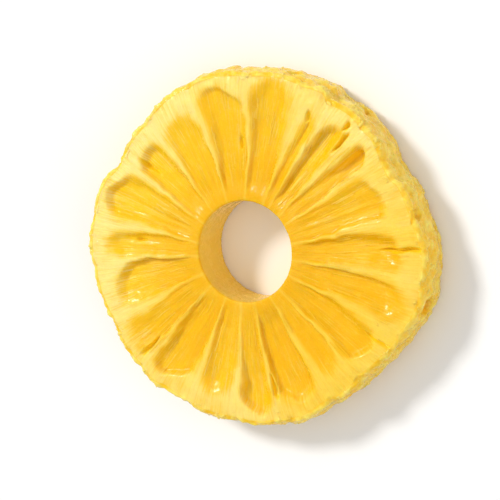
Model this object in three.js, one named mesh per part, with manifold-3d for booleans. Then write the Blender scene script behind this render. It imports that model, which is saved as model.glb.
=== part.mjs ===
// A pineapple ring: one thick slice of a peeled and cored pineapple, lying flat on its lower cut face.
// Units are millimetres and +Z is up. The origin is the middle of the ring's footprint where it lies.
// Angles are in degrees, counter-clockwise from +X as seen from above.
//
// The flesh is a single piece. Its body is a closed grid that runs round the core and round the ring's
// section: wedge-shaped fruitlets lie sunk between raised radial walls on both cut faces, and the rim swells
// a little over each fruitlet. Eye pits in the rim and seed slits in the faces are then cut out of it.
import * as THREE from "three";
import { mergeVertices } from "three/addons/utils/BufferGeometryUtils.js";
import Module from "manifold-3d";

// ---- driving dimensions ----
const RING_RADIUS = 47.5; // mean radius of the peeled slice
const CORE_RADIUS = 13.5; // hole left by the coring tool
const THICKNESS = 14.5;

// ---- outline: what makes the slice uneven rather than round ----
const OUTLINE_WAVES = [
  // how many waves go round the ring, their height as a share of RING_RADIUS, and the angle of a crest
  [1, 0.028, 16],
  [2, 0.014, 24],
  [3, 0.01, -19],
  [4, 0.016, -4],
  [5, 0.004, -10],
  [6, 0.014, -7],
];
const KNIFE_STEPS = [
  // where one peeling cut stops against the next: angle, depth, and how far it runs out below and above it
  [60, 1.1, 9, 1.6],
  [27, 0.9, 1.6, 8],
  [152, 1.0, 7, 2],
  [238, 1.2, 2, 9],
  [301, 0.8, 6, 2],
];
const SCALLOP_HEIGHT = 0.5; // swell of the rim over a fruitlet
const SCALLOP_SPREAD = 0.3;
const CRAG_HEIGHT = 0.4; // roughness of the peeled rim
const CRAG_WAVES = [29, 17]; // round the ring
const CRAG_SLANTS = [5, -9]; // how far the crags lean over the rim's height

// ---- fruitlets: their widths in the order they lie round the core, and how they are sunk in the face ----
const FIRST_WALL_ANGLE = -6;
const FRUITLET_WIDTHS = [
  18, 21.5, 12.5, 13.5, 8.5, 21.5, 21.5, 21, 18, 23,
  15, 20, 17, 22, 19, 16, 21, 14, 20, 17,
];
const FRUITLET_DEPTH = 1.0;
const FRUITLET_DEPTH_SPREAD = 0.45;
const FRUITLET_START = 3.0; // from the core hole to where the sinking starts
const FRUITLET_RUN_IN = 7.0;
const WALL_HALF_WIDTH = 0.55; // half of a raised wall's flat top
const WALL_SLOPE = 2.2; // from the wall's top down to the fruitlet's floor
const WALL_SLOPE_LIMIT = 0.42; // of a narrow fruitlet's width
const OUTER_BAND = 4.8; // flesh between a fruitlet's arched end and the rim
const OUTER_BAND_SPREAD = 1.6;
const NARROW_BANDS = { 2: 2.8, 5: 2.2, 9: 3.0, 15: 2.8 }; // fruitlets that reach further out: index, band
const ARCH_HEIGHT = 3.2;
const ARCH_SLOPE = 2.4;
const SCOOPS = { 2: 2.6, 9: 1.4, 15: 2.0 }; // fruitlets cut open into a scoop: index, extra depth
const SCOOP_START = 26; // radius where a scoop starts to deepen
const SCOOP_FLOOR = 39; // radius where it is deepest

// ---- section ----
const EDGE_ROUND = 1.5; // how far the faces stop short of the rim
const EDGE_DROP = 0.5; // how much the upper face falls away towards the rim
const EDGE_DROP_START = 0.85; // share of the face's width where that begins
const RIM_SWELL = 0.5; // how far the rim bulges at mid-height
const RIM_CORNER = 1.2; // how far it draws back in at its upper and lower corners
const CORE_EDGE_ROUND = 0.6;
const LOWER_FACE_TURN = 8; // the fruitlets lean, so they meet the lower face further round
const LOWER_FACE_SHARE = 0.6; // the lower face is pressed flatter by the slice's weight

// ---- grid, as shares of a fruitlet's width, of the face's width and of the thickness ----
const COLUMN_SHARES = [0, 0.1, 0.26, 0.5, 0.74, 0.9];
const UPPER_SHARES = [0, 0.08, 0.2, 0.34, 0.5, 0.64, 0.75, 0.83, 0.89, 0.94, 1];
const LOWER_SHARES = [1, 0.94, 0.87, 0.78, 0.62, 0.42, 0.22, 0.08, 0];
const RIM_HEIGHT_SHARES = [0.9, 0.66, 0.34, 0.1];
const CORE_HEIGHT_SHARES = [0.08, 0.92];

// ---- eyes: pits in the rim where the peel dipped into the flesh ----
const EYE_COUNT = 11;
const FIRST_EYE_ANGLE = 14.5;
const EYE_ANGLE_SPREAD = 5;
const EYE_HEIGHT_SHARES = [0.84, 0.42, 0.64, 0.24]; // height in the rim, taken in turn
const EYE_WIDTH = 4.6;
const EYE_WIDTH_SPREAD = 1.5;
const EYE_TALLNESS = 0.86; // height over width
const EYE_DEPTH_SHARE = 0.8; // of the width, from the egg's middle inwards
const EYE_STAND_OUT = 0.1; // of the width, from the rim out to the egg's middle

// ---- seed slits: angle, the stretch of the radius covered, width, depth, and 1 for the upper face ----
const SEED_SLITS = [
  [3.6, 0.72, 1.03, 1.5, 4.2, 1],
  [47.2, 0.75, 0.91, 1.7, 4.4, 1],
  [51.5, 0.89, 0.95, 1.9, 3.0, 1],
  [64, 0.79, 0.87, 1.8, 2.0, 1],
  [92.6, 0.56, 0.65, 1.7, 2.6, 1],
  [143, 0.7, 0.9, 1.5, 4.0, 1],
  [178, 0.62, 0.7, 1.6, 2.4, 1],
  [224, 0.74, 0.95, 1.4, 4.0, 1],
  [283, 0.68, 0.88, 1.6, 4.2, 1],
  [331, 0.78, 1.0, 1.3, 3.6, 1],
  [25, 0.72, 0.98, 1.5, 3.8, -1],
  [120, 0.7, 0.9, 1.5, 3.8, -1],
  [206, 0.76, 1.02, 1.4, 3.6, -1],
  [318, 0.7, 0.88, 1.6, 3.8, -1],
];
const SLIT_STAND_OUT = 0.15; // from the face out to the lens's middle

const radians = THREE.MathUtils.degToRad;
const mix = THREE.MathUtils.lerp;
const smooth = THREE.MathUtils.smoothstep;
const degreesFrom = (start, angle) => THREE.MathUtils.euclideanModulo(angle - start, 360);

// An even but irregular-looking value from -1 to 1 for each fruitlet or eye.
const uneven = (index, step, start) => Math.sin(step * index + start);

const wallAngles = FRUITLET_WIDTHS.map((_, i) =>
  FRUITLET_WIDTHS.slice(0, i).reduce((sum, width) => sum + width, FIRST_WALL_ANGLE),
);

// The fruitlet at an angle: its index, and how far across it the angle lies, from 0 to 1.
function fruitletAt(angle) {
  const turned = FIRST_WALL_ANGLE + degreesFrom(FIRST_WALL_ANGLE, angle);
  let index = wallAngles.length - 1;
  while (index > 0 && wallAngles[index] > turned) index -= 1;
  return { index, across: (turned - wallAngles[index]) / FRUITLET_WIDTHS[index] };
}

function fruitletDepth(index, radius) {
  const plain = FRUITLET_DEPTH * (1 + FRUITLET_DEPTH_SPREAD * uneven(index, 2.4, 1.1));
  return plain + (SCOOPS[index] ?? 0) * smooth(radius, SCOOP_START, SCOOP_FLOOR);
}

function outerBand(index) {
  return NARROW_BANDS[index] ?? OUTER_BAND + OUTER_BAND_SPREAD * uneven(index, 1.9, 0.4);
}

// Radius of the rim at an angle, before the crags.
function rimRadius(angle) {
  const waves = OUTLINE_WAVES.reduce(
    (sum, [count, height, crest]) => sum + height * Math.cos(count * radians(angle - crest)),
    1,
  );
  const { index, across } = fruitletAt(angle);
  const height = SCALLOP_HEIGHT + SCALLOP_SPREAD * uneven(index, 3.1, 0);
  const scallop = height * (Math.sin(Math.PI * across) - 0.5);
  const steps = KNIFE_STEPS.reduce((sum, [at, depth, runBelow, runAbove]) => {
    const nearer = Math.min(degreesFrom(angle, at) / runBelow, degreesFrom(at, angle) / runAbove);
    return sum + depth * Math.exp(-(nearer ** 2));
  }, 0);
  return RING_RADIUS * waves + scallop - steps;
}

// Roughness of the peeled rim at an angle and at a share of its height.
function crag(angle, share) {
  const waves = CRAG_WAVES.map((count, i) => Math.sin(radians(count * angle) + CRAG_SLANTS[i] * share + i));
  return CRAG_HEIGHT * waves[0] * waves[1];
}

// How deep the face is sunk at a point of it. The top of a wall and the outer band are not sunk at all.
function sinking(angle, radius) {
  const { index, across } = fruitletAt(angle);
  const width = radians(FRUITLET_WIDTHS[index]) * radius;
  const fromWall = Math.min(across, 1 - across) * width - WALL_HALF_WIDTH;
  const side = smooth(fromWall, 0, Math.min(WALL_SLOPE, WALL_SLOPE_LIMIT * width));
  const inner = smooth(radius - CORE_RADIUS, FRUITLET_START, FRUITLET_START + FRUITLET_RUN_IN);
  const archedEnd = rimRadius(angle) - outerBand(index) - ARCH_HEIGHT * (2 * across - 1) ** 2;
  const outer = 1 - smooth(radius, archedEnd - ARCH_SLOPE, archedEnd);
  return fruitletDepth(index, radius) * side * inner * outer;
}

// The closed line round the ring's section at an angle, from the core wall's foot up the core, out over the
// upper face, down the rim and back in under the lower face.
function section(angle) {
  const rim = rimRadius(angle);
  const faceEdge = rim - EDGE_ROUND;
  const faceStart = CORE_RADIUS + CORE_EDGE_ROUND;
  const core = CORE_HEIGHT_SHARES.map((share) => [CORE_RADIUS, share * THICKNESS]);
  const upper = UPPER_SHARES.map((share) => {
    const radius = mix(faceStart, faceEdge, share);
    const drop = EDGE_DROP * smooth(share, EDGE_DROP_START, 1);
    return [radius, THICKNESS - drop - sinking(angle, radius)];
  });
  const side = RIM_HEIGHT_SHARES.map((share) => {
    const bulge = RIM_SWELL - RIM_CORNER * (2 * share - 1) ** 4;
    return [rim + bulge + crag(angle, share), share * THICKNESS];
  });
  const lower = LOWER_SHARES.map((share) => {
    const radius = mix(faceStart, faceEdge, share);
    return [radius, LOWER_FACE_SHARE * sinking(angle - LOWER_FACE_TURN, radius)];
  });
  return [...core, ...upper, ...side, ...lower].map(([radius, height]) => [
    radius * Math.cos(radians(angle)),
    radius * Math.sin(radians(angle)),
    height,
  ]);
}

// The ring's body: one section at each column, each joined to the next, and the last to the first.
function bodyGeometry() {
  const columns = wallAngles.flatMap((wall, i) =>
    COLUMN_SHARES.map((share) => section(wall + share * FRUITLET_WIDTHS[i])),
  );
  const rows = columns[0].length;
  const faces = columns.flatMap((column, i) =>
    column.flatMap((_, j) => {
      const here = i * rows;
      const next = ((i + 1) % columns.length) * rows;
      const above = (j + 1) % rows;
      return [here + j, here + above, next + above, here + j, next + above, next + j];
    }),
  );
  const geometry = new THREE.BufferGeometry();
  geometry.setAttribute("position", new THREE.Float32BufferAttribute(columns.flat(2), 3));
  geometry.setIndex(faces);
  return geometry;
}

// An eye pit: an egg that reaches into the rim, its long axis pointing at the core.
function eyeGeometry(index) {
  const angle = FIRST_EYE_ANGLE + (index * 360) / EYE_COUNT + EYE_ANGLE_SPREAD * uneven(index, 2.1, 0);
  const width = EYE_WIDTH + EYE_WIDTH_SPREAD * uneven(index, 0.95, -1.57);
  const egg = new THREE.SphereGeometry(1, 10, 6);
  egg.scale(EYE_DEPTH_SHARE * width, width / 2, (EYE_TALLNESS * width) / 2);
  egg.translate(rimRadius(angle) + EYE_STAND_OUT * width, 0, 0);
  egg.rotateZ(radians(angle));
  egg.translate(0, 0, EYE_HEIGHT_SHARES[index % EYE_HEIGHT_SHARES.length] * THICKNESS);
  return egg;
}

// A seed slit: a flat lens that stands on edge in a cut face and points at the core.
function slitGeometry([angle, from, to, width, depth, face]) {
  const rim = rimRadius(angle);
  const lens = new THREE.SphereGeometry(1, 8, 6);
  lens.scale(((to - from) / 2) * rim, width / 2, depth);
  lens.translate(((from + to) / 2) * rim, 0, 0);
  lens.rotateZ(radians(angle));
  lens.translate(0, 0, face > 0 ? THICKNESS + SLIT_STAND_OUT : -SLIT_STAND_OUT);
  return lens;
}

const wasm = await Module();
wasm.setup();

function solidOf(geometry) {
  const bare = geometry.clone();
  bare.deleteAttribute("normal");
  bare.deleteAttribute("uv");
  const merged = mergeVertices(bare, 1e-4);
  return new wasm.Manifold(
    new wasm.Mesh({
      numProp: 3,
      vertProperties: new Float32Array(merged.attributes.position.array),
      triVerts: new Uint32Array(merged.index.array),
    }),
  );
}

function geometryOf(solid) {
  const made = solid.getMesh();
  const geometry = new THREE.BufferGeometry();
  geometry.setAttribute("position", new THREE.BufferAttribute(new Float32Array(made.vertProperties), 3));
  geometry.setIndex(new THREE.BufferAttribute(new Uint32Array(made.triVerts), 1));
  return geometry;
}

const cutouts = [
  ...Array.from({ length: EYE_COUNT }, (_, index) => eyeGeometry(index)),
  ...SEED_SLITS.map(slitGeometry),
];
const flesh = cutouts.reduce((solid, cutout) => solid.subtract(solidOf(cutout)), solidOf(bodyGeometry()));

const ring = new THREE.Mesh(
  geometryOf(flesh),
  new THREE.MeshStandardMaterial({ color: 0xf7c244, roughness: 0.35, metalness: 0 }),
);
ring.name = "pineapple_ring";
ring.geometry.computeBoundingBox();
const middle = ring.geometry.boundingBox.getCenter(new THREE.Vector3());
ring.position.set(-middle.x, -middle.y, 0);

const group = new THREE.Group();
group.add(ring);
export default group;
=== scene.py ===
import math

import bpy
import numpy as np
from mathutils import Matrix, Vector, noise


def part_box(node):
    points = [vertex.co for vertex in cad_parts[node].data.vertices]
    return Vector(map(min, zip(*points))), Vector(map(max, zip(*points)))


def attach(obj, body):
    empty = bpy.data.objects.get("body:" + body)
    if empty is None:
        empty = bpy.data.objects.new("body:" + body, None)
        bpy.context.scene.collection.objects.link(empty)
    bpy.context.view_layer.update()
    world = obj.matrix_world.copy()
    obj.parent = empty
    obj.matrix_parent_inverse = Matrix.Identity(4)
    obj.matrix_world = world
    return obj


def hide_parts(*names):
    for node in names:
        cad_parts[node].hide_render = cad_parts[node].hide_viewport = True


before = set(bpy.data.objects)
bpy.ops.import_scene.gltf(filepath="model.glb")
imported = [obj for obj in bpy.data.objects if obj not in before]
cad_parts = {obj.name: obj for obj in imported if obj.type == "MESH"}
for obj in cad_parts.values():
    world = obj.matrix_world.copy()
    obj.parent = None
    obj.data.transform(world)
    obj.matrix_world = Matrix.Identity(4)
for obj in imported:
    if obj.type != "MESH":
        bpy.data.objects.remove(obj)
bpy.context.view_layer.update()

# ---- The body of the slice ----
# One thick slice of peeled pineapple with its core punched out, a single piece of wet flesh. Wedge-shaped
# fruitlets lie sunk between thin paler walls on both cut faces and end in an arch short of the rim. The body
# is a closed grid, with columns round the core hole and rows round the section, in millimetres and degrees.
MM = 0.001
RING_RADIUS = 47.5
CORE_RADIUS = 13.5
THICKNESS = 14.5

OUTLINE_WAVES = (  # waves round the ring, height as a share of the radius, angle of a crest
    (1, 0.028, 16), (2, 0.014, 24), (3, 0.01, -19), (4, 0.016, -4), (5, 0.004, -10), (6, 0.014, -7),
)
KNIFE_STEPS = (  # angle where one peeling cut stops at the next, depth, run-out below and above it
    (60, 1.1, 9, 1.6), (27, 0.9, 1.6, 8), (152, 0.7, 8, 4), (238, 1.0, 3, 9), (301, 0.7, 7, 3),
)
SCALLOP_HEIGHT, SCALLOP_SPREAD = 0.5, 0.3
CRAG_HEIGHT, CRAG_COUNTS, CRAG_TWISTS = 0.4, (29, 17), (5, 9)

FIRST_WALL_ANGLE = -6
FRUITLET_WIDTHS = np.array(
    [18, 21.5, 12.5, 13.5, 8.5, 21.5, 21.5, 21, 18, 23, 15, 20, 17, 22, 19, 16, 21, 14, 20, 17.0]
)
FRUITLET_DEPTH, FRUITLET_DEPTH_SPREAD = 1.4, 0.35
INNER_DEPTH_SHARE = 0.5  # how deep a fruitlet is near the core, as a share of its depth near the rim
FRUITLET_LEAN = 0.45  # how much deeper one side of a fruitlet may be than the other
FRUITLET_START, FRUITLET_RUN_IN = 1.2, 6.0
WALL_HALF_WIDTHS = (0.1, 1.15)  # near the core and near the rim
WALL_SLOPES = (0.8, 3.2)
WALL_LEAN = 0.6  # how much steeper one side of a wall may be than the other
WALL_WIDENS = (19, 44)  # the radii between which the walls grow wider
WALL_WIDTH_SPREAD, WALL_SLOPE_LIMIT = 0.5, 0.46
OUTER_BAND, OUTER_BAND_SPREAD = 4.8, 1.6
NARROW_BANDS = {2: 2.8, 5: 2.2, 9: 3.0, 15: 2.8}
ARCH_HEIGHT, ARCH_LEAN = 3.2, 1.4
ARCH_SLOPES = (2.2, 6.5)  # the shortest and longest run of a fruitlet's outer end down to its floor
SCOOPS = {2: 1.9, 9: 1.2, 15: 1.5}
SCOOP_START, SCOOP_FLOOR = 26, 39

EDGE_ROUND, EDGE_DROP, EDGE_DROP_START = 1.5, 0.5, 0.85
RIM_FROM, RIM_TO = 0.14, 0.86  # shares of the thickness between the rounded edges
RIM_SWELL = 0.5
RIM_GROOVE, RIM_GROOVE_WIDTH = 0.3, 0.9  # the shallow crease that each wall leaves on the rim
CORE_EDGE_ROUND = 0.6
LOWER_FACE_TURN, LOWER_FACE_SHARE = 8, 0.6

WALL_BEND, BEND_SIZE = 1.1, 17.0  # how far the walls bend from straight, and over what length
BEND_FROM, BEND_TO = 15, 30  # the radii between which the bends grow
WALL_RAGGEDNESS, INNER_RAGGEDNESS, RAGGED_SIZE = 0.35, 0.4, 3.5
STREAK_HEIGHT, STREAK_ANGLE, STREAK_LENGTH = 0.2, 3.4, 30.0  # the fruitlets' long radial ripples
STREAKS_ON_WALLS, STREAK_RUN_IN = 0.3, 8
FACE_UNEVENNESS, UNEVENNESS_SIZE, UNEVENNESS_RUN_IN = 0.22, 14.0, 4  # the knife's path

SEED_SLITS = (  # angle, the stretch of the radius covered, width, depth, 1 for the upper face
    (3.6, 0.72, 1.03, 1.9, 1.8, 1), (47.6, 0.75, 0.92, 2.3, 1.8, 1), (50.2, 0.88, 0.955, 2.4, 1.5, 1),
    (64, 0.79, 0.87, 2.0, 1.0, 1), (92.6, 0.56, 0.65, 2.0, 1.1, 1), (143, 0.7, 0.9, 2.1, 1.4, 1),
    (178, 0.62, 0.7, 1.9, 1.1, 1), (224, 0.74, 0.95, 1.9, 1.5, 1), (283, 0.68, 0.88, 2.1, 1.5, 1),
    (331, 0.78, 1.0, 1.8, 1.4, 1), (25, 0.72, 0.98, 1.9, 1.6, -1), (120, 0.7, 0.9, 2.0, 1.5, -1),
    (206, 0.76, 1.02, 1.9, 1.6, -1), (318, 0.7, 0.88, 2.1, 1.5, -1),
)
SLIT_LIP, SLIT_TAPER, SLIT_WAVER = 0.9, 0.5, 0.45

# The notes on the body's points, which the relief, the grains, the fibres and the finish read.
BEADS_FROM_RIM, BEADS_SPREAD = 0.8, 1.6  # where torn pulp gathers along the edges
UPPER_HALF, LOWER_BEADS = 0.55, 0.6
BAND_FADE = (-3.5, 1.5)  # from a fruitlet's arched end to the plain outer band
CREST_SPILL, INNER_CREST = 0.3, 0.55
SHADED_SIDE_ANGLE = -40  # the side of the slice painted the deepest gold, as painted shade opposite the window light
RIPE_UNEVENNESS, RIPE_PATCH_SIZE = 0.5, 22.0
INWARD_REACH = 0.8  # how far out the deeper gold round the core reaches, as a share of the radius

COLUMNS, ANGLES_TRIED = 720, 7201
COLUMN_CROWDING, CROWDING_WIDTH = 1.4, 1.5  # extra columns where a slit needs them
CORE_ROWS, CORE_EDGE_ROWS, UPPER_ROWS, EDGE_ROWS, RIM_ROWS, LOWER_ROWS = 8, 3, 62, 6, 28, 22
UPPER_ROW_CROWDING = 0.9  # below 1 the rows stand closer towards the rim
CORE_ROUND_SHARE, CORE_END_SHARE = 0.04, 0.05  # of the thickness, left to the hole's rounded edges
CRAG_FADE = 0.12
NOISE_STEPS, NOISE_STRETCH = (17.3, 5.1, 9.7), 1.6  # how far a seed moves the noise, and its strength


def smooth(value, low, high):
    """An S-shaped rise from 0 at the low value to 1 at the high one."""
    share = np.clip((value - low) / (high - low), 0, 1)
    return share * share * (3 - 2 * share)


def between(share, pair):
    """The value that lies the given share of the way between a pair."""
    return pair[0] + (pair[1] - pair[0]) * share


def uneven(index, step, start):
    """An even but irregular-looking value from -1 to 1 for each fruitlet, wall or eye."""
    return np.sin(step * index + start)


def fruitlet_at(angle):
    """The fruitlet at an angle: its index, and how far across it the angle lies, from 0 to 1."""
    starts = np.concatenate([[0], np.cumsum(FRUITLET_WIDTHS)[:-1]])
    turned = (angle - FIRST_WALL_ANGLE) % 360
    index = np.searchsorted(starts, turned, side="right") - 1
    return index, (turned - starts[index]) / FRUITLET_WIDTHS[index]


def listed(index, values, otherwise):
    """A fruitlet's own value where the table has one, and the usual one elsewhere."""
    return np.select([index == key for key in values], list(values.values()), otherwise)


def rim_radius(angle):
    """The uneven outline, with a scallop for each fruitlet and the steps that the peeling knife leaves."""
    waves = 1 + sum(h * np.cos(np.radians(n * (angle - crest))) for n, h, crest in OUTLINE_WAVES)
    index, across = fruitlet_at(angle)
    height = SCALLOP_HEIGHT + SCALLOP_SPREAD * uneven(index, 3.1, 0)
    scallop = height * (np.sin(np.pi * across) - 0.5)
    steps = sum(
        depth * np.exp(-np.minimum((at - angle) % 360 / below, (angle - at) % 360 / above) ** 2)
        for at, depth, below, above in KNIFE_STEPS
    )
    return RING_RADIUS * waves + scallop - steps


def crag(angle, share):
    """How far the rim stands out in low crags, from waves that cross as they climb it."""
    first = np.sin(np.radians(CRAG_COUNTS[0] * angle) + CRAG_TWISTS[0] * share)
    return CRAG_HEIGHT * first * np.sin(np.radians(CRAG_COUNTS[1] * angle) - CRAG_TWISTS[1] * share + 1)


def wall_distance(angle, radius):
    """How far a point lies from the middle of the nearest wall, and that wall's half width and slope."""
    index, across = fruitlet_at(angle)
    width = np.radians(FRUITLET_WIDTHS[index]) * radius
    wall = (index + (across > 0.5)) % len(FRUITLET_WIDTHS)
    wide = smooth(radius, *WALL_WIDENS) * (1 + WALL_WIDTH_SPREAD * uneven(wall, 2.7, 0.3))
    lean = 1 + WALL_LEAN * uneven(wall, 4.9, 1.0) * np.where(across > 0.5, -1, 1)
    slope = np.minimum(between(wide, WALL_SLOPES) * lean, WALL_SLOPE_LIMIT * width)
    return np.minimum(across, 1 - across) * width, between(wide, WALL_HALF_WIDTHS), slope


def past_arch(angle, radius):
    """How far beyond the arched outer end of its fruitlet a point lies."""
    index, across = fruitlet_at(angle)
    band = listed(index, NARROW_BANDS, OUTER_BAND + OUTER_BAND_SPREAD * uneven(index, 1.9, 0.4))
    side = 2 * across - 1
    lean = ARCH_LEAN * uneven(index, 1.3, 0) * side
    return radius - (rim_radius(angle) - band - ARCH_HEIGHT * side ** 2 + lean)


def hollow(angle, radius):
    """How much a point of a cut face belongs to a fruitlet, from 0 on a wall or the outer band to 1."""
    distance, half_width, slope = wall_distance(angle, radius)
    side = smooth(distance, half_width, half_width + slope)
    inner = smooth(radius - CORE_RADIUS, FRUITLET_START, FRUITLET_START + FRUITLET_RUN_IN)
    index, _ = fruitlet_at(angle)
    usual_run = between(0.5 + 0.5 * uneven(index, 3.7, 0.9), ARCH_SLOPES)
    run = listed(index, {key: ARCH_SLOPES[0] for key in SCOOPS}, usual_run)
    return side * inner * (1 - smooth(past_arch(angle, radius) / run, -1, 0))


def sinking(angle, radius):
    """How deep below its cut face a fruitlet's floor lies."""
    index, across = fruitlet_at(angle)
    plain = FRUITLET_DEPTH * (1 + FRUITLET_DEPTH_SPREAD * uneven(index, 2.4, 1.1))
    plain = plain * between(smooth(radius, CORE_RADIUS, SCOOP_FLOOR), (INNER_DEPTH_SHARE, 1))
    leaning = 1 + FRUITLET_LEAN * uneven(index, 4.3, 0.7) * (2 * across - 1)
    scoop = listed(index, SCOOPS, 0.0) * smooth(radius, SCOOP_START, SCOOP_FLOOR)
    return (plain * leaning + scoop) * hollow(angle, radius)


def ripple(points, size, seed):
    """Smooth noise of about -1 to 1 at each point, with lumps of the given size."""
    offset = Vector([seed * step for step in NOISE_STEPS])
    return np.array([noise.noise(Vector(p) / size + offset) for p in points]) * NOISE_STRETCH


def column_angles():
    """The angles of the grid's columns, which crowd together where there is a slit."""
    fine = np.linspace(0, 360, ANGLES_TRIED)
    crowding = 1 + sum(
        COLUMN_CROWDING * np.exp(-((((fine - slit[0] + 180) % 360) - 180) / CROWDING_WIDTH) ** 2)
        for slit in SEED_SLITS
    )
    total = np.concatenate([[0], np.cumsum((crowding[1:] + crowding[:-1]) / 2)])
    return np.interp(np.arange(COLUMNS) * total[-1] / COLUMNS, total, fine)


def section_rows(angle):
    """The closed line round the section at each column: radius, height, and which stretch a row is of."""
    rim = rim_radius(angle)
    face_start, face_edge = CORE_RADIUS + CORE_EDGE_ROUND, rim - EDGE_ROUND
    rows = []

    def quarter(radius_from, height_from, radius_to, height_to, count, stretch, upright_first):
        for turn in np.linspace(0, np.pi / 2, count + 2)[1:-1]:
            first, second = np.sin(turn), 1 - np.cos(turn)
            across, up = (second, first) if upright_first else (first, second)
            rows.append((radius_from + (radius_to - radius_from) * across,
                         height_from + (height_to - height_from) * up, stretch))

    for share in np.linspace(CORE_END_SHARE, 1 - CORE_END_SHARE, CORE_ROWS):
        rows.append((CORE_RADIUS, share * THICKNESS, "core"))
    core_top, core_foot = (1 - CORE_ROUND_SHARE) * THICKNESS, CORE_ROUND_SHARE * THICKNESS
    quarter(CORE_RADIUS, core_top, face_start, THICKNESS, CORE_EDGE_ROWS, "upper", True)
    for share in np.linspace(0, 1, UPPER_ROWS) ** UPPER_ROW_CROWDING:
        drop = EDGE_DROP * smooth(share, EDGE_DROP_START, 1)
        rows.append((face_start + (face_edge - face_start) * share, THICKNESS - drop, "upper"))
    quarter(face_edge, THICKNESS - EDGE_DROP, rim, RIM_TO * THICKNESS, EDGE_ROWS, "edge", False)
    for share in np.linspace(RIM_TO, RIM_FROM, RIM_ROWS):
        across = (share - RIM_FROM) / (RIM_TO - RIM_FROM)
        bulge = RIM_SWELL * 4 * across * (1 - across)
        rows.append((rim + bulge + crag(angle, share) * smooth(across * (1 - across), 0, CRAG_FADE),
                     share * THICKNESS, "rim"))
    quarter(rim, RIM_FROM * THICKNESS, face_edge, 0, EDGE_ROWS - 2, "edge", True)
    for share in np.linspace(1, 0, LOWER_ROWS):
        rows.append((face_start + (face_edge - face_start) * share, 0, "lower"))
    quarter(face_start, 0, CORE_RADIUS, core_foot, CORE_EDGE_ROWS, "lower", False)
    radius, height, stretch = zip(*rows)
    ones = np.ones(len(angle))
    return np.array([r * ones for r in radius]), np.array([h * ones for h in height]), np.array(stretch)


def slit_depths(points, facing):
    """How deep below its cut face each point lies in a seed slit, a lens that narrows towards the core."""
    depth_of = np.zeros(len(points))
    waver = SLIT_WAVER * ripple(points, RAGGED_SIZE, 6)
    for angle, start, end, width, depth, face in SEED_SLITS:
        rim, turn = float(rim_radius(np.array(angle))), np.radians(angle)
        along = points[:, 0] * np.cos(turn) + points[:, 1] * np.sin(turn)
        beside = points[:, 1] * np.cos(turn) - points[:, 0] * np.sin(turn) + waver
        u = (along - (start + end) / 2 * rim) / ((end - start) / 2 * rim)
        v = beside / (width / 2 * (1 + SLIT_TAPER * (u - 1) / 2))
        inside = np.clip(1 - u * u - v * v, 0, None)
        sunk = depth * np.sqrt(inside) * smooth(inside, 0, SLIT_LIP) * (facing == face)
        depth_of = np.maximum(depth_of, sunk)
    return depth_of


def grid_mesh(name, points, rows):
    """The points joined into a closed skin, round the hole and round the section."""
    corner = np.arange(rows * COLUMNS).reshape(rows, COLUMNS)
    right = np.roll(corner, -1, axis=1)
    faces = np.stack([corner, np.roll(corner, -1, axis=0), np.roll(right, -1, axis=0), right], axis=-1)
    mesh = bpy.data.meshes.new(name)
    mesh.from_pydata((points * MM).tolist(), [], faces.reshape(-1, 4).tolist())
    return mesh


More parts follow.
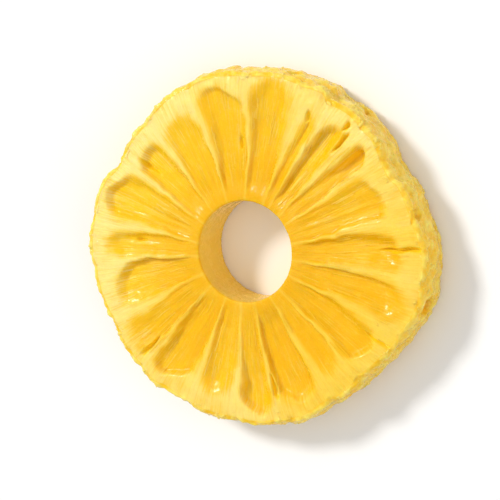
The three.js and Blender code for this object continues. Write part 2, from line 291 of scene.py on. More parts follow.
def body_mesh():
    """The grid bent into the slice, with notes on its points for the relief and the finish."""
    angle = column_angles()
    radius, height, stretch = section_rows(angle)
    turn = np.radians(angle)
    points = np.stack([radius * np.cos(turn), radius * np.sin(turn), height], axis=-1).reshape(-1, 3)
    angles, radii = np.broadcast_to(angle, radius.shape).ravel(), radius.ravel()
    around = np.stack([np.cos(np.radians(angles)), np.sin(np.radians(angles)), 0 * angles], axis=1)
    upper, lower = np.repeat(stretch == "upper", COLUMNS), np.repeat(stretch == "lower", COLUMNS)
    rim = np.repeat((stretch == "rim") | (stretch == "edge"), COLUMNS)

    # The walls bend and fray, and those of the lower face lie turned against those of the upper one.
    free = smooth(radii, BEND_FROM, BEND_TO)
    fraying = WALL_RAGGEDNESS * between(free, (INNER_RAGGEDNESS, 1))
    waver = WALL_BEND * free * ripple(points, BEND_SIZE, 1) + fraying * ripple(points, RAGGED_SIZE, 4)
    down = 1 - points[:, 2] / THICKNESS
    wall_angles = angles + np.degrees(waver / radii) - LOWER_FACE_TURN * down
    wall_radii = radii + WALL_BEND * ripple(points, BEND_SIZE / 2, 2) + WALL_RAGGEDNESS * ripple(
        points, RAGGED_SIZE, 5)

    share = hollow(wall_angles, wall_radii)
    polar = np.column_stack([around[:, :2] * np.degrees(1) / STREAK_ANGLE, radii / STREAK_LENGTH])
    streaks = STREAK_HEIGHT * ripple(polar, 1.0, 7) * between(share, (STREAKS_ON_WALLS, 1)) * smooth(
        radii - CORE_RADIUS, CORE_EDGE_ROUND, STREAK_RUN_IN)
    knife = FACE_UNEVENNESS * (1 + ripple(points, UNEVENNESS_SIZE, 3)) * smooth(
        radii - CORE_RADIUS, CORE_EDGE_ROUND, UNEVENNESS_RUN_IN)
    sunk = np.clip(sinking(wall_angles, wall_radii) + streaks, 0, None)
    slit = slit_depths(points, upper.astype(int) - lower.astype(int))
    near_top = smooth(points[:, 2] / THICKNESS, RIM_TO, 1 - EDGE_DROP / THICKNESS)
    face_share = np.where(upper, 1, near_top * rim)
    points[:, 2] += np.where(lower, LOWER_FACE_SHARE * sunk + slit, 0) - (sunk + knife + slit) * face_share
    points[:, 2] = np.clip(points[:, 2], 0, THICKNESS)

    distance, half_width, _ = wall_distance(wall_angles, wall_radii)
    crease = np.exp(-(distance / RIM_GROOVE_WIDTH) ** 2)
    points -= around * (RIM_GROOVE * crease * rim)[:, None]

    from_rim = np.broadcast_to(rim_radius(angle), radius.shape).ravel() - radii
    edge = np.exp(-((BEADS_FROM_RIM - from_rim) / BEADS_SPREAD) ** 2)
    edge *= np.where(height.ravel() > UPPER_HALF * THICKNESS, 1, LOWER_BEADS)
    band = smooth(past_arch(wall_angles, wall_radii), *BAND_FADE)
    crest = np.exp(-(distance / (CREST_SPILL + half_width)) ** 2) * between(free, (INNER_CREST, 1))
    section = np.stack([radius, height], axis=-1)
    stretch_lengths = np.linalg.norm(np.diff(section, axis=0), axis=-1)
    along = np.concatenate([np.zeros((1, COLUMNS)), np.cumsum(stretch_lengths, axis=0)]).ravel()
    index, _ = fruitlet_at(wall_angles)

    # Painted shade: the flesh turns a deeper gold towards the side away from the window light, and real
    # patches of riper gold are laid over that.
    shaded_side_way = np.radians(SHADED_SIDE_ANGLE)
    ripe = (points[:, 0] * np.cos(shaded_side_way) + points[:, 1] * np.sin(shaded_side_way)) / RING_RADIUS
    notes = {
        "band": band * (upper | lower), "edge": edge,
        "crest": crest * (upper | lower | rim), "slit": slit / np.max(slit),
        "cut_face": (upper | lower) * 1.0, "rim": rim * 1.0,
        "ripe": ripe + RIPE_UNEVENNESS * ripple(points, RIPE_PATCH_SIZE, 8),
        "inward": (1 - smooth(radii, CORE_RADIUS, INWARD_REACH * RING_RADIUS)) * (upper | lower),
        "tint": uneven(index, 5.3, 0.2),
    }
    mesh = grid_mesh("pineapple_flesh", points, len(stretch))
    for name, values in notes.items():
        mesh.attributes.new(name, "FLOAT", "POINT").data.foreach_set("value", values.astype(np.float32))
    grain_way = np.column_stack([around[:, :2], along * MM]).astype(np.float32)
    mesh.attributes.new("grain_way", "FLOAT_VECTOR", "POINT").data.foreach_set("vector", grain_way.ravel())
    mesh.shade_smooth()
    return mesh


body = bpy.data.objects.new("pineapple_flesh", body_mesh())
bpy.context.scene.collection.objects.link(body)


# ---- The eyes and the skin of the cut flesh ----
# Round the rim the knife leaves the bottoms of the eyes, the pits where the peel dipped into the flesh.
# Geometry Nodes sink one at each point of a cloud in staggered rows. The same tree roughens the cut flesh:
# soft pulp all over, beads of torn pulp along the edges, and fibres that run out from the core.
EYE_COUNT, FIRST_EYE_ANGLE, EYE_ANGLE_SPREAD = 11, 14.5, 5
EYE_HEIGHT_SHARES = (0.74, 0.42, 0.62, 0.26)
EYE_WIDTH, EYE_WIDTH_SPREAD, EYE_TALLNESS = 5.2, 1.5, 0.86
EYE_DEPTH_SHARE, EYE_STAND_OFF, EYE_LIP = 0.5, 0.3, 0.5
EYE_TEARS = ((330.0, 0.9), (1100.0, 0.35))  # scale and strength of the noises that fray an eye's outline
PULP_SHARES, GRAIN_SHARES = (0.5, 2.8), (0.4, 1.8)  # how strong the relief is on the faces and on the rim
BEAD_SOFTNESS, BEAD_MIDDLE = 0.35, 0.45
FURROW_SCALES = (55.0, 55.0, 120.0)  # of the furrows between fibres, round the core hole and along them
RAISED_BY_GRAIN = 0.4


def eye_points():
    """One point for each eye, just outside the rim, with the eye's width noted on it."""
    number = np.arange(EYE_COUNT)
    angle = FIRST_EYE_ANGLE + number * 360 / EYE_COUNT + EYE_ANGLE_SPREAD * uneven(number, 2.1, 0)
    width = EYE_WIDTH + EYE_WIDTH_SPREAD * uneven(number, 0.95, -1.57)
    height = THICKNESS * np.array([EYE_HEIGHT_SHARES[i % len(EYE_HEIGHT_SHARES)] for i in number])
    rim = rim_radius(angle) + EYE_STAND_OFF
    places = np.stack([rim * np.cos(np.radians(angle)), rim * np.sin(np.radians(angle)), height], axis=1)
    mesh = bpy.data.meshes.new("eye_points")
    mesh.from_pydata((places * MM).tolist(), [], [])
    mesh.attributes.new("eye_width", "FLOAT", "POINT").data.foreach_set("value", width * MM)
    return bpy.data.objects.new("eye_points", mesh)


def add_node(tree, kind, sockets=None, out=0, **settings):
    """Adds a node, links or sets its inputs by name or place, and returns one of its outputs."""
    made = tree.nodes.new(kind)
    for name, setting in settings.items():
        setattr(made, name, setting)
    for socket, value in (sockets or {}).items():
        if isinstance(value, bpy.types.NodeSocket):
            tree.links.new(value, made.inputs[socket])
        else:
            made.inputs[socket].default_value = value
    return made.outputs[out]


def maths(tree, operation, first, second=0.0, third=0.0, clamp=False):
    sockets = {0: first, 1: second, 2: third}
    return add_node(tree, "ShaderNodeMath", sockets, operation=operation, use_clamp=clamp)


def product(tree, *values):
    made = values[0]
    for value in values[1:]:
        made = maths(tree, "MULTIPLY", made, value)
    return made


def total(tree, *values):
    made = values[0]
    for value in values[1:]:
        made = maths(tree, "ADD", made, value)
    return made


def vectors(tree, operation, first, second=(0, 0, 0), out=0):
    return add_node(tree, "ShaderNodeVectorMath", {0: first, 1: second}, out, operation=operation)


def scaled(tree, vector, scale):
    return add_node(tree, "ShaderNodeVectorMath", {0: vector, "Scale": scale}, operation="SCALE")


def eased(tree, value, low, high, to_low=0.0, to_high=1.0):
    """An S-shaped change from one value at the low end to another at the high end."""
    return add_node(tree, "ShaderNodeMapRange", {0: value, 1: low, 2: high, 3: to_low, 4: to_high},
                    interpolation_type="SMOOTHSTEP")


def new_tree(name, sockets):
    """A Geometry Nodes tree with a geometry in and out, and named inputs with their usual values."""
    tree = bpy.data.node_groups.new(name, "GeometryNodeTree")
    tree.interface.new_socket("Geometry", in_out="OUTPUT", socket_type="NodeSocketGeometry")
    tree.interface.new_socket("Geometry", in_out="INPUT", socket_type="NodeSocketGeometry")
    for label, (kind, value) in sockets.items():
        socket = tree.interface.new_socket(label, in_out="INPUT", socket_type="NodeSocket" + kind)
        if value is not None:
            socket.default_value = value
    given = tree.nodes.new("NodeGroupInput")
    return tree, {socket.name: socket for socket in given.outputs if socket.name}


def noted(tree, name, kind="FLOAT"):
    """Reads one of the values that the body's points carry."""
    return add_node(tree, "GeometryNodeInputNamedAttribute", {"Name": name}, data_type=kind)


def with_note(tree, geometry, name, value):
    """Writes a value on every point, for a later tree or the finish to read."""
    return add_node(tree, "GeometryNodeStoreNamedAttribute", {
        "Geometry": geometry, "Name": name, "Value": value}, data_type="FLOAT", domain="POINT")


def end_tree(tree, geometry, material):
    """Makes what the tree laid out real, and gives it its material."""
    real = add_node(tree, "GeometryNodeRealizeInstances", {0: geometry})
    painted = add_node(tree, "GeometryNodeSetMaterial", {0: real, "Material": material})
    tree.links.new(painted, tree.nodes.new("NodeGroupOutput").inputs[0])


def apply_tree(piece, tree, **inputs):
    """Runs a tree on a piece and leaves the result as its plain mesh."""
    modifier = piece.modifiers.new(tree.name, "NODES")
    modifier.node_group = tree
    for item in tree.interface.items_tree:
        if item.in_out == "INPUT" and item.name in inputs:
            modifier[item.identifier] = inputs[item.name]
    bpy.context.view_layer.update()
    depsgraph = bpy.context.evaluated_depsgraph_get()
    made = bpy.data.meshes.new_from_object(
        piece.evaluated_get(depsgraph), preserve_all_data_layers=True, depsgraph=depsgraph)
    piece.modifiers.clear()
    old, piece.data = piece.data, made
    bpy.data.meshes.remove(old)
    made.name = piece.name


def held_in(tree, geometry, top):
    """Keeps every point between the surface that the slice lies on and its upper cut face.

    The other two ways stay free, because a metre lies far outside the slice.
    """
    low = add_node(tree, "ShaderNodeCombineXYZ", {0: -1.0, 1: -1.0, 2: 0.0})
    high = add_node(tree, "ShaderNodeCombineXYZ", {0: 1.0, 1: 1.0, 2: top})
    place = add_node(tree, "GeometryNodeInputPosition")
    held = vectors(tree, "MINIMUM", vectors(tree, "MAXIMUM", place, low), high)
    return add_node(tree, "GeometryNodeSetPosition", {"Geometry": geometry, "Position": held})


def cut_flesh_tree(material):
    """Sinks the eyes, then roughens the flesh with pulp, grains, beads and the furrows between fibres."""
    tree, given = new_tree("cut_flesh", {
        "Eyes": ("Object", None), "Eye Depth": ("Float", 0.6), "Eye Tallness": ("Float", 0.86),
        "Pulp Size": ("Float", 0.003), "Pulp Height": ("Float", 0.0002),
        "Grain Size": ("Float", 0.001), "Grain Height": ("Float", 0.0002),
        "Bead Size": ("Float", 0.002), "Bead Height": ("Float", 0.0004),
        "Fibre Height": ("Float", 0.0001), "Top": ("Float", 0.0145), "Seed": ("Float", 0.0),
    })
    place = add_node(tree, "GeometryNodeInputPosition")
    normal = add_node(tree, "GeometryNodeInputNormal")

    def lumps(vector, scale, detail=2.0, roughness=0.5):
        raw = add_node(tree, "ShaderNodeTexNoise", {
            "Vector": vector, "W": given["Seed"], "Scale": scale, "Detail": detail, "Roughness": roughness,
        }, noise_dimensions="4D")
        return maths(tree, "SUBTRACT", raw, 0.5)

    def per(size):
        return maths(tree, "DIVIDE", 1.0, given[size])

    eyes = add_node(tree, "GeometryNodeObjectInfo", {"Object": given["Eyes"]}, "Geometry")
    nearest = add_node(tree, "GeometryNodeSampleNearest", {"Geometry": eyes, "Sample Position": place})
    centre = add_node(tree, "GeometryNodeSampleIndex", {
        "Geometry": eyes, "Value": add_node(tree, "GeometryNodeInputPosition"), "Index": nearest,
    }, data_type="FLOAT_VECTOR")
    width = add_node(tree, "GeometryNodeSampleIndex", {
        "Geometry": eyes, "Value": noted(tree, "eye_width"), "Index": nearest,
    }, data_type="FLOAT")
    away = vectors(tree, "DIVIDE", vectors(tree, "SUBTRACT", place, centre),
                   add_node(tree, "ShaderNodeCombineXYZ", {0: 1.0, 1: 1.0, 2: given["Eye Tallness"]}))
    half_width = maths(tree, "MULTIPLY", width, 0.5)
    far = maths(tree, "DIVIDE", vectors(tree, "LENGTH", away, out="Value"), half_width)
    ragged = total(tree, *(product(tree, lumps(place, scale), share) for scale, share in EYE_TEARS))
    inside = maths(tree, "SUBTRACT", 1.0, maths(tree, "POWER", total(tree, far, ragged), 2.0), clamp=True)
    bowl = maths(tree, "MULTIPLY", maths(tree, "SQRT", inside), eased(tree, inside, 0.0, EYE_LIP))
    sunk = product(tree, bowl, width, given["Eye Depth"])
    pitted = add_node(tree, "GeometryNodeSetPosition", {
        "Geometry": given["Geometry"], "Offset": scaled(tree, normal, maths(tree, "MULTIPLY", sunk, -1.0)),
    })
    marked = with_note(tree, pitted, "eye", bowl)

    on_rim = noted(tree, "rim")
    pulp_share = eased(tree, on_rim, 0.0, 1.0, *PULP_SHARES)
    grain_share = eased(tree, on_rim, 0.0, 1.0, *GRAIN_SHARES)
    pulp = product(tree, lumps(place, per("Pulp Size"), 2.0), pulp_share)
    grain = product(tree, lumps(place, per("Grain Size"), 1.0), grain_share)
    bead_far = add_node(tree, "ShaderNodeTexVoronoi", {
        "Vector": place, "W": given["Seed"], "Scale": per("Bead Size"), "Smoothness": BEAD_SOFTNESS,
    }, voronoi_dimensions="4D", feature="SMOOTH_F1")
    bead = maths(tree, "MULTIPLY", maths(tree, "SUBTRACT", BEAD_MIDDLE, bead_far), noted(tree, "edge"))
    way = vectors(tree, "MULTIPLY", noted(tree, "grain_way", "FLOAT_VECTOR"), FURROW_SCALES)
    fibre = maths(tree, "MULTIPLY", lumps(way, 1.0), noted(tree, "cut_face"))
    rise = total(tree, *(
        product(tree, shape, given[height])
        for shape, height in ((pulp, "Pulp Height"), (grain, "Grain Height"),
                              (bead, "Bead Height"), (fibre, "Fibre Height"))
    ))
    roughened = add_node(tree, "GeometryNodeSetPosition", {
        "Geometry": marked, "Offset": scaled(tree, normal, rise),
    })
    # How far each point stands up. The finish paints it as painted highlight: lumps and beads paler, and the
    # hollows between them left deeper gold as painted shade.
    raised = total(tree, pulp, product(tree, grain, RAISED_BY_GRAIN), bead)
    end_tree(tree, with_note(tree, held_in(tree, roughened, given["Top"]), "raised", raised), material)
    return tree


# ---- The flesh's finish ----
# Wet, see-through fruit flesh: golden in the fruitlets and deeper towards the core, paler on the walls'
# crests, creamy in the outer band and on the torn rim, with fine fibres and a thin film of juice. The side
# away from the window light is painted a deeper gold, as painted shade.
def linear(red, green, blue):
    """A colour given from 0 to 255 as a painter's chart has it, as the shader takes it."""
    shares = np.array([red, green, blue]) / 255
    return (*np.where(shares > 0.04045, ((shares + 0.055) / 1.055) ** 2.4, shares / 12.92), 1.0)


# Each colour has a deeper twin, used for riper flesh, for flesh near the core, and as painted shade on the
# side away from the window light.
CREAM, RIPE_AND_SHADED_CREAM = linear(254, 229, 142), linear(250, 212, 80)
WALL_YELLOW, RIPE_AND_SHADED_WALL_YELLOW = linear(254, 227, 130), linear(251, 210, 76)
GOLDEN, RIPE_AND_SHADED_GOLDEN = linear(251, 200, 28), linear(245, 186, 8)
RIM_GOLD, RIM_CREAM = linear(254, 200, 36), linear(255, 228, 112)
CORE_YELLOW = linear(255, 213, 74)
# The pits' and slits' own yellow, kept lighter than the gold around the slits as painted light that lifts
# the shade in these narrow hollows.
PIT_YELLOW_WITH_PAINTED_LIGHT = linear(255, 214, 36)

# The scales of the fine patterns. A pair is for a pattern of lines: round the core hole, and away from it.
FIBRE_LINES, THREAD_LINES, CELL_LINES = (95.0, 130.0), (210.0, 260.0), (70.0, 800.0)
TOOL_LINES, KNIFE_LINES = (120.0, 60.0), (110.0, 160.0)
PATCH_SCALE, MOTTLE_SCALE, GRAIN_SCALE, SAC_SCALE = 90.0, 260.0, 1300.0, 1000.0

# How much each pattern, and each note on the body, counts towards a colour, and where the colour fades in.
RIPE_BY_TINT, RIPE_BY_INWARD, RIPE_BY_PATCHES, RIPE_AND_SHADE_FADE = 0.35, 1.1, 1.5, (-1.0, 1.2)
DRIFT_BY_MOTTLE, DRIFT_BY_FIBRES = 0.6, 1.6
CREST_BY_DRIFT, CREST_STRENGTH = 0.9, 0.95
CREAM_BY_BAND, CREAM_BY_RELIEF_HIGHLIGHT, CREAM_FADE = 0.9, 0.4, (0.0, 1.15)
SKIN_BY_EDGE, SKIN_FADE = 0.3, (-0.45, 0.95)
PIT_BY_SLIT, PIT_STRENGTH = 2.5, 0.85
THREAD_FADE, THREAD_SHADES = (-0.25, 0.25), (0.965, 1.02)
GLOSS_FADE, GLOSS_ROUGHNESS = (-0.3, 0.3), (0.15, 0.36)

# How strongly each pattern stands up from the surface as fine bump.
GRAIN_BUMP, FIBRE_BUMP, THREAD_BUMP, CELL_BUMP = 0.38, 0.7, 0.4, 0.2
TOOL_BUMP, KNIFE_BUMP, SAC_BUMP = 0.4, 0.8, 0.7


def flesh_material(name, depth):
    """Cut flesh, with the given share of its brightness from light that has passed through it."""
    material = bpy.data.materials.new(name)
    material.use_nodes = True
    tree = material.node_tree
    tree.nodes.clear()
    place = add_node(tree, "ShaderNodeTexCoord", out="Object")

    def read(name, out="Fac"):
        return add_node(tree, "ShaderNodeAttribute", out=out, attribute_name=name)

    def lumps(vector, scale, detail=2.0, roughness=0.5):
        raw = add_node(tree, "ShaderNodeTexNoise", {
            "Vector": vector, "Scale": scale, "Detail": detail, "Roughness": roughness})
        return maths(tree, "SUBTRACT", raw, 0.5)

    def blended(share, first, second):
        return add_node(tree, "ShaderNodeMix", {0: share, 6: first, 7: second}, 2, data_type="RGBA")

    def stretched(round_scale, along_scale):
        """The way of the fibres: fine round the core hole, long away from it."""
        scales = (round_scale, round_scale, along_scale)
        return vectors(tree, "MULTIPLY", read("grain_way", "Vector"), scales)

    on_face = read("cut_face")
    in_core = maths(tree, "SUBTRACT", maths(tree, "SUBTRACT", 1.0, on_face), read("rim"), clamp=True)
    fibres = lumps(stretched(*FIBRE_LINES), 1.0, 3.0, 0.6)
    threads = lumps(stretched(*THREAD_LINES), 1.0, 2.0, 0.6)
    cells = add_node(tree, "ShaderNodeTexVoronoi", {"Vector": stretched(*CELL_LINES), "Scale": 1.0})
    tool_marks = lumps(stretched(*TOOL_LINES), 1.0, 2.0)
    knife_marks = lumps(stretched(*KNIFE_LINES), 1.0, 3.0, 0.6)
    sacs = add_node(tree, "ShaderNodeTexVoronoi", {"Vector": place, "Scale": SAC_SCALE})
    patches = lumps(place, PATCH_SCALE, 2.0)
    mottle = lumps(place, MOTTLE_SCALE, 3.0)
    grain = lumps(place, GRAIN_SCALE, 3.0)

    # The deeper gold is partly riper flesh and partly painted shade on the side away from the window light.
    ripeness_and_shade = total(tree, read("ripe"), product(tree, read("tint"), RIPE_BY_TINT),
                     product(tree, read("inward"), RIPE_BY_INWARD), product(tree, patches, RIPE_BY_PATCHES))
    ripe = eased(tree, ripeness_and_shade, *RIPE_AND_SHADE_FADE)
    drift = total(tree, product(tree, mottle, DRIFT_BY_MOTTLE),
                  product(tree, fibres, on_face, DRIFT_BY_FIBRES))
    colour = blended(ripe, GOLDEN, RIPE_AND_SHADED_GOLDEN)
    crest = total(tree, read("crest"), product(tree, drift, CREST_BY_DRIFT))
    colour = blended(maths(tree, "MULTIPLY", crest, CREST_STRENGTH, clamp=True), colour,
                     blended(ripe, WALL_YELLOW, RIPE_AND_SHADED_WALL_YELLOW))
    cream = blended(ripe, CREAM, RIPE_AND_SHADED_CREAM)
    # Lumps and beads on the cut faces turn creamier as painted highlight.
    creamy = total(tree, product(tree, read("band"), CREAM_BY_BAND), drift,
                   product(tree, read("raised"), CREAM_BY_RELIEF_HIGHLIGHT))
    colour = blended(maths(tree, "MULTIPLY", eased(tree, creamy, *CREAM_FADE), on_face), colour, cream)
    # The rim is mottled between gold and cream, and it is paler on its lumps, beads and edges as painted
    # highlight.
    skin = total(tree, read("raised"), mottle, product(tree, read("edge"), SKIN_BY_EDGE))
    rim_colour = blended(eased(tree, skin, *SKIN_FADE), RIM_GOLD, RIM_CREAM)
    colour = blended(read("rim"), colour, rim_colour)
    colour = blended(in_core, colour, CORE_YELLOW)
    # Pits and slits take their yellow, which is partly their own colour and partly painted light that lifts
    # the shade inside them.
    sunk = total(tree, read("eye"), product(tree, read("slit"), PIT_BY_SLIT))
    colour = blended(maths(tree, "MULTIPLY", sunk, PIT_STRENGTH, clamp=True), colour, PIT_YELLOW_WITH_PAINTED_LIGHT)
    colour = add_node(tree, "ShaderNodeHueSaturation", {
        "Value": eased(tree, threads, *THREAD_FADE, *THREAD_SHADES), "Color": colour})

    fine = total(tree, product(tree, grain, GRAIN_BUMP), product(tree, fibres, on_face, FIBRE_BUMP),
                 product(tree, threads, on_face, THREAD_BUMP), product(tree, cells, on_face, CELL_BUMP),
                 product(tree, tool_marks, in_core, TOOL_BUMP), product(tree, sacs, read("rim"), SAC_BUMP),
                 product(tree, knife_marks, read("rim"), KNIFE_BUMP))
    bump = add_node(tree, "ShaderNodeBump", {"Strength": 0.7, "Distance": 0.0003, "Height": fine})
    shader = add_node(tree, "ShaderNodeBsdfPrincipled", {
        "Base Color": colour,
        "Roughness": eased(tree, total(tree, grain, mottle), *GLOSS_FADE, *GLOSS_ROUGHNESS),
        "Specular IOR Level": 0.2,
        "Subsurface Weight": depth,
        "Subsurface Radius": (1.0, 0.6, 0.12),
        "Subsurface Scale": 0.0022,
        "Specular Tint": (1.0, 0.9, 0.62, 1.0),
        "Coat Weight": 0.38,
        "Coat Roughness": 0.08,
        "Coat IOR": 1.33,
        "Coat Tint": (1.0, 0.97, 0.85, 1.0),
        "Normal": bump,
    })
    tree.links.new(shader, tree.nodes.new("ShaderNodeOutputMaterial").inputs["Surface"])
    return material


flesh = flesh_material("wet_pineapple_flesh", 0.5)
eyes = eye_points()
bpy.context.scene.collection.objects.link(eyes)
apply_tree(body, cut_flesh_tree(flesh), **{
    "Eyes": eyes, "Eye Depth": EYE_DEPTH_SHARE, "Eye Tallness": EYE_TALLNESS,
    "Pulp Size": 3.2 * MM, "Pulp Height": 0.5 * MM, "Grain Size": 1.2 * MM, "Grain Height": 0.3 * MM,
    "Bead Size": 2.3 * MM, "Bead Height": 0.9 * MM,
    "Fibre Height": 0.3 * MM, "Top": THICKNESS * MM, "Seed": 4.0,
})
bpy.data.objects.remove(eyes)


# ---- The torn pulp ----
# The knife leaves grains of torn pulp on the rim and its edges, of the same flesh, half sunk in the surface.
# Geometry Nodes scatter them in clumps over the body, thickest along the edges, and fray each one a little.
GRAIN_EVENNESS = 2.2  # above 1 makes large grains rare
GRAIN_LENGTHS, GRAIN_WIDTHS, GRAIN_HEIGHTS = (0.9, 2.1), (0.6, 1.1), (0.5, 0.9)  # shares of its size
# The grains are painted paler than the flesh around them, as painted highlight.
GRAIN_SEGMENTS, GRAIN_RINGS, GRAIN_HIGHLIGHT = 7, 5, 0.4
PULP_ON_EDGE, PULP_ON_RIM, PULP_ON_BAND = 1.6, 0.22, 0.12
PULP_CLUMP_SCALE, PULP_CLUMP_FADE, PULP_TEAR_SCALE = 190.0, (0.45, 0.62), 1900.0
EYE_CLEARANCE = (0.0, 0.2)


def drawn(tree, low, high, seed):
    """A number drawn anew for each piece that is laid out."""
    return add_node(tree, "FunctionNodeRandomValue", {2: low, 3: high, "Seed": seed}, 1, data_type="FLOAT")


def drawn_between(tree, low, high, seed, evenness=1.0):
    """The same, with few large ones where the evenness is above 1."""
    share = maths(tree, "POWER", drawn(tree, 0.0, 1.0, seed), evenness)
    return add_node(tree, "ShaderNodeMapRange", {0: share, 1: 0.0, 2: 1.0, 3: low, 4: high})


def scattered(tree, given, where):
    """Points over the body, as dense as the tree's inputs say where the given share is 1."""
    spread = tree.nodes.new("GeometryNodeDistributePointsOnFaces")
    tree.links.new(given["Geometry"], spread.inputs["Mesh"])
    tree.links.new(product(tree, where, given["Per Square Metre"]), spread.inputs["Density"])
    tree.links.new(given["Seed"], spread.inputs["Seed"])
    return spread.outputs


def clear_of(tree, name, fade):
    """1 away from a part that is noted on the body, and 0 on it."""
    return eased(tree, noted(tree, name), *fade, 1.0, 0.0)


def wander(tree, scale, detail):
    """A direction that changes softly from place to place, of up to about a half each way."""
    anywhere = add_node(tree, "ShaderNodeTexNoise", {"Scale": scale, "Detail": detail}, "Color")
    return vectors(tree, "SUBTRACT", anywhere, (0.5, 0.5, 0.5))


def pulp_tree(material):
    """Scatters ragged grains in clumps along the edges and over the rim, clear of the eyes."""
    tree, given = new_tree("pulp_grains", {
        "Per Square Metre": ("Float", 1.0e5), "Smallest": ("Float", 0.0002), "Largest": ("Float", 0.0006),
        "Sunk Share": ("Float", 0.4), "Raggedness": ("Float", 1.0), "Top": ("Float", 0.0145),
        "Seed": ("Int", 0),
    })
    where = total(tree, product(tree, noted(tree, "edge"), PULP_ON_EDGE),
                  product(tree, noted(tree, "rim"), PULP_ON_RIM),
                  product(tree, noted(tree, "band"), PULP_ON_BAND))
    clump = add_node(tree, "ShaderNodeTexNoise", {"Scale": PULP_CLUMP_SCALE, "Detail": 1.0})
    where = product(tree, where, eased(tree, clump, *PULP_CLUMP_FADE), clear_of(tree, "eye", EYE_CLEARANCE))
    spread = scattered(tree, given, where)
    grain = add_node(tree, "GeometryNodeMeshUVSphere", {
        "Segments": GRAIN_SEGMENTS, "Rings": GRAIN_RINGS, "Radius": 1.0})
    size = drawn_between(tree, given["Smallest"], given["Largest"], 3, GRAIN_EVENNESS)
    shape = add_node(tree, "ShaderNodeCombineXYZ", {
        0: product(tree, size, drawn(tree, *GRAIN_LENGTHS, 5)),
        1: product(tree, size, drawn(tree, *GRAIN_WIDTHS, 6)),
        2: product(tree, size, drawn(tree, *GRAIN_HEIGHTS, 8))})
    turned = add_node(tree, "FunctionNodeRotateRotation", {
        0: spread["Rotation"],
        1: add_node(tree, "ShaderNodeCombineXYZ", {2: drawn(tree, 0.0, math.tau, 7)}),
    }, rotation_space="LOCAL")
    placed = add_node(tree, "GeometryNodeInstanceOnPoints", {
        "Points": with_note(tree, spread["Points"], "grain_size", size),
        "Instance": grain, "Rotation": turned, "Scale": shape})
    down = scaled(tree, spread["Normal"], -1.0)
    lowered = add_node(tree, "GeometryNodeSetPosition", {
        "Geometry": placed, "Offset": scaled(tree, down, product(tree, size, given["Sunk Share"]))})
    real = add_node(tree, "GeometryNodeRealizeInstances", {0: lowered})
    torn = scaled(tree, wander(tree, PULP_TEAR_SCALE, 1.0),
                  product(tree, noted(tree, "grain_size"), given["Raggedness"]))
    frayed = add_node(tree, "GeometryNodeSetPosition", {"Geometry": real, "Offset": torn})
    marked = with_note(tree, held_in(tree, frayed, given["Top"]), "raised", GRAIN_HIGHLIGHT)
    end_tree(tree, add_node(tree, "GeometryNodeSetShadeSmooth", {"Geometry": marked}), material)
    return tree


def on_body(name):
    """A new piece that starts as a copy of the body, for a tree to scatter things over."""
    piece = bpy.data.objects.new(name, body.data.copy())
    bpy.context.scene.collection.objects.link(piece)
    return piece


grains = on_body("pulp_grains")
torn_flesh = flesh_material("torn_flesh", 0.0)
apply_tree(grains, pulp_tree(torn_flesh), **{
    "Per Square Metre": 6.5e5, "Smallest": 0.12 * MM, "Largest": 0.62 * MM, "Sunk Share": 0.45,
    "Raggedness": 1.7, "Top": THICKNESS * MM, "Seed": 11,
})


# ---- The bare fibres ----
# Between the walls the cut lays bare short stretches of the fibres that run out from the core. Each is a
# thin tapered strand, half sunk in the fruitlet's floor. Geometry Nodes lay them along the grain.
STRAND_POINTS, STRAND_SIDES = 7, 6
STRAND_FLATNESS, STRAND_PALENESS = 0.6, 0.4
STRAND_TAPER = (2.7, 0.22)  # the length and the start of the sine arch that its thickness follows
STRAND_CLUMP_SCALE, STRAND_CLUMP_FADE = 120.0, (0.42, 0.6)
STRAND_SWAY_SCALE, STRAND_SWAY = 110.0, (4.0, 4.0, 0.0)
SLIT_CLEARANCE, CORE_CLEARANCE, BAND_CLEARANCE = (0.0, 0.1), (0.85, 0.92), (0.3, 0.8)
UPPER_FACE_FADE = (10 * MM, 12 * MM)  # the heights above which there are fibres
DROP_FROM = 10 * MM


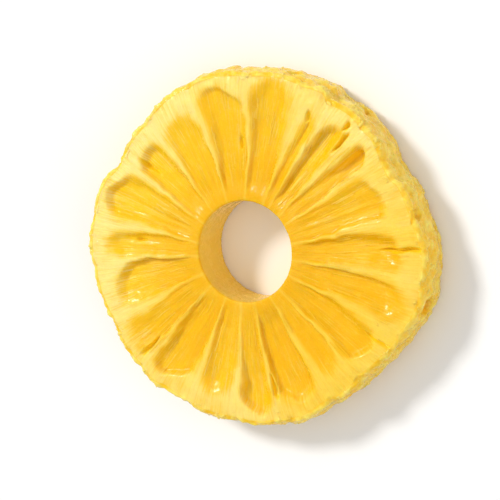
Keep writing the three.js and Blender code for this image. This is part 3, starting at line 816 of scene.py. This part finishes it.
def fibre_tree(material):
    """Lays tapered strands along the upper fruitlets, clear of the slits, the hole and the outer band."""
    tree, given = new_tree("bare_fibres", {
        "Per Square Metre": ("Float", 1.0e5), "Shortest": ("Float", 0.002), "Longest": ("Float", 0.007),
        "Thinnest": ("Float", 0.0001), "Thickest": ("Float", 0.0003), "Bend": ("Float", 0.0003),
        "Sunk Share": ("Float", 0.4), "Top": ("Float", 0.0145), "Seed": ("Int", 0),
    })
    place = add_node(tree, "GeometryNodeInputPosition")
    height = add_node(tree, "ShaderNodeSeparateXYZ", {0: place}, "Z")
    clump = add_node(tree, "ShaderNodeTexNoise", {"Scale": STRAND_CLUMP_SCALE, "Detail": 1.0})
    where = product(tree, noted(tree, "cut_face"), eased(tree, clump, *STRAND_CLUMP_FADE),
                    clear_of(tree, "slit", SLIT_CLEARANCE), eased(tree, height, *UPPER_FACE_FADE),
                    clear_of(tree, "inward", CORE_CLEARANCE), clear_of(tree, "band", BAND_CLEARANCE))
    spread = scattered(tree, given, where)

    line = add_node(tree, "GeometryNodeCurvePrimitiveLine", {
        "Start": (-0.5, 0.0, 0.0), "End": (0.5, 0.0, 0.0)})
    line = add_node(tree, "GeometryNodeResampleCurve", {"Curve": line, "Count": STRAND_POINTS})
    along = add_node(tree, "GeometryNodeSplineParameter", out="Factor")
    swell = maths(tree, "SINE", maths(tree, "MULTIPLY_ADD", along, *STRAND_TAPER))
    line = add_node(tree, "GeometryNodeSetCurveRadius", {"Curve": line, "Radius": swell})
    ring = add_node(tree, "GeometryNodeCurvePrimitiveCircle", {"Resolution": STRAND_SIDES, "Radius": 1.0})
    strand = add_node(tree, "GeometryNodeCurveToMesh", {
        "Curve": line, "Profile Curve": ring, "Fill Caps": True})
    length = drawn_between(tree, given["Shortest"], given["Longest"], 3)
    thick = drawn_between(tree, given["Thinnest"], given["Thickest"], 4)
    outwards = vectors(tree, "MULTIPLY", noted(tree, "grain_way", "FLOAT_VECTOR"), (1.0, 1.0, 0.0))
    placed = add_node(tree, "GeometryNodeInstanceOnPoints", {
        "Points": with_note(tree, spread["Points"], "foot", height), "Instance": strand,
        "Rotation": add_node(tree, "FunctionNodeAlignRotationToVector", {"Vector": outwards},
                             axis="X", pivot_axis="Z"),
        "Scale": add_node(tree, "ShaderNodeCombineXYZ", {
            0: length, 1: thick, 2: product(tree, thick, STRAND_FLATNESS)})})
    real = add_node(tree, "GeometryNodeRealizeInstances", {0: placed})

    # Each strand is bent sideways, then let down until all of it rests on the face as its middle does.
    sideways = vectors(tree, "MULTIPLY", wander(tree, STRAND_SWAY_SCALE, 0.0), STRAND_SWAY)
    bent = add_node(tree, "GeometryNodeSetPosition", {
        "Geometry": real, "Offset": scaled(tree, sideways, given["Bend"])})
    ray = add_node(tree, "GeometryNodeRaycast", {
        "Target Geometry": given["Geometry"],
        "Source Position": vectors(tree, "ADD", place, (0.0, 0.0, DROP_FROM)),
        "Ray Direction": (0.0, 0.0, -1.0)}, "Hit Position")
    ground = add_node(tree, "ShaderNodeSeparateXYZ", {0: ray}, "Z")
    above_foot = maths(tree, "SUBTRACT", height, noted(tree, "foot"))
    sunk = product(tree, given["Thinnest"], given["Sunk Share"])
    level = maths(tree, "SUBTRACT", total(tree, ground, above_foot), sunk)
    spot = vectors(tree, "ADD", vectors(tree, "MULTIPLY", place, (1.0, 1.0, 0.0)),
                   add_node(tree, "ShaderNodeCombineXYZ", {2: level}))
    settled = add_node(tree, "GeometryNodeSetPosition", {"Geometry": bent, "Position": spot})
    marked = with_note(tree, held_in(tree, settled, given["Top"]), "crest", STRAND_PALENESS)
    end_tree(tree, add_node(tree, "GeometryNodeSetShadeSmooth", {"Geometry": marked}), material)
    return tree


fibres = on_body("bare_fibres")
apply_tree(fibres, fibre_tree(torn_flesh), **{
    "Per Square Metre": 1.6e5, "Shortest": 2.5 * MM, "Longest": 7.0 * MM, "Thinnest": 0.08 * MM,
    "Thickest": 0.2 * MM, "Bend": 0.3 * MM, "Sunk Share": 0.4, "Top": THICKNESS * MM, "Seed": 5,
})


# ---- The slice as one ----
# Body, grains and fibres are one piece of flesh. They are set in the middle of the ring's place together,
# and drawn in by as little as keeps the farthest grain within it.
pieces = (body, grains, fibres)
low, high = (np.array(corner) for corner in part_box("pineapple_ring"))
corners = np.array([v.co for piece in pieces for v in piece.data.vertices])
shift = (low + high - corners.min(0) - corners.max(0)) / 2
fit = min(1.0, np.min((high - low)[:2] / (corners.max(0) - corners.min(0))[:2]))
for piece in pieces:
    piece.data.transform(Matrix.Diagonal((fit, fit, 1, 1)) @ Matrix.Translation((shift[0], shift[1], 0)))
    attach(piece, "root")
    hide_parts("pineapple_ring")


# ---- The table, the light and the camera ----
# A plain white table in a white room that is brightest overhead. Soft window light falls from the upper
# left, and the room throws a weaker, wider light back from the right. A long lens looks down aslant.
TABLE_HALF, TABLE_WHITE, TABLE_ROUGHNESS = 3.0, 0.9, 0.7


def white_surface():
    material = bpy.data.materials.new("white_surface")
    material.use_nodes = True
    shader = material.node_tree.nodes["Principled BSDF"]
    shader.inputs["Base Color"].default_value = (TABLE_WHITE, TABLE_WHITE, TABLE_WHITE, 1)
    shader.inputs["Roughness"].default_value = TABLE_ROUGHNESS
    mesh = bpy.data.meshes.new("table")
    square = [(x * TABLE_HALF, y * TABLE_HALF, 0) for x, y in ((-1, -1), (1, -1), (1, 1), (-1, 1))]
    mesh.from_pydata(square, [], [(0, 1, 2, 3)])
    mesh.materials.append(material)
    table = bpy.data.objects.new("table", mesh)
    bpy.context.scene.collection.objects.link(table)
    return table


white_surface()

LOW_LIGHT, HIGH_LIGHT, LIGHT_RISE = 0.22, 0.83, 1.0  # the room's light beside the table and overhead


def daylight():
    """A white room, brightest overhead."""
    world = bpy.data.worlds.new("daylight")
    world.use_nodes = True
    tree = world.node_tree
    tree.nodes.clear()
    way = add_node(tree, "ShaderNodeTexCoord", out="Generated")
    upward = add_node(tree, "ShaderNodeSeparateXYZ", {0: way}, "Z")
    strength = eased(tree, upward, 0.0, LIGHT_RISE, LOW_LIGHT, HIGH_LIGHT)
    light = add_node(tree, "ShaderNodeBackground", {"Color": (1.0, 1.0, 1.0, 1.0), "Strength": strength})
    tree.links.new(light, tree.nodes.new("ShaderNodeOutputWorld").inputs["Surface"])
    return world


bpy.context.scene.world = daylight()


def sunlight(name, strength, spread, toward, colour):
    """A far lamp that shines the given way, with shadows softened by its spread in degrees."""
    lamp = bpy.data.lights.new(name, "SUN")
    lamp.energy, lamp.angle, lamp.color = strength, math.radians(spread), colour
    made = bpy.data.objects.new(name, lamp)
    made.rotation_euler = Vector(toward).to_track_quat("-Z", "Y").to_euler()
    bpy.context.scene.collection.objects.link(made)


sunlight("window_light", strength=1.95, spread=12, toward=(0.62, -0.5, -0.78), colour=(1.0, 0.99, 0.965))
sunlight("room_light", strength=0.65, spread=60, toward=(-0.85, 0.1, -0.35), colour=(1.0, 0.985, 0.95))

FACE_MIDDLE = Vector((0, 0, THICKNESS * MM))
VIEW_TILT, VIEW_TURN = math.radians(26), math.radians(18)
VIEW_DISTANCE, LENS = 0.583, 160.0

toward_camera = Vector((math.cos(VIEW_TURN) * math.sin(VIEW_TILT),
                        math.sin(VIEW_TURN) * math.sin(VIEW_TILT), math.cos(VIEW_TILT)))
right = Vector((0, 1, 0)).cross(toward_camera).normalized()
up = toward_camera.cross(right)
lens = bpy.data.cameras.new("camera")
lens.lens = LENS
camera = bpy.data.objects.new("camera", lens)
turned = Matrix((right, up, toward_camera)).transposed().to_4x4()
camera.matrix_world = Matrix.Translation(FACE_MIDDLE + toward_camera * VIEW_DISTANCE) @ turned
bpy.context.scene.collection.objects.link(camera)
bpy.context.scene.camera = camera
bpy.context.scene.view_settings.view_transform = "Standard"
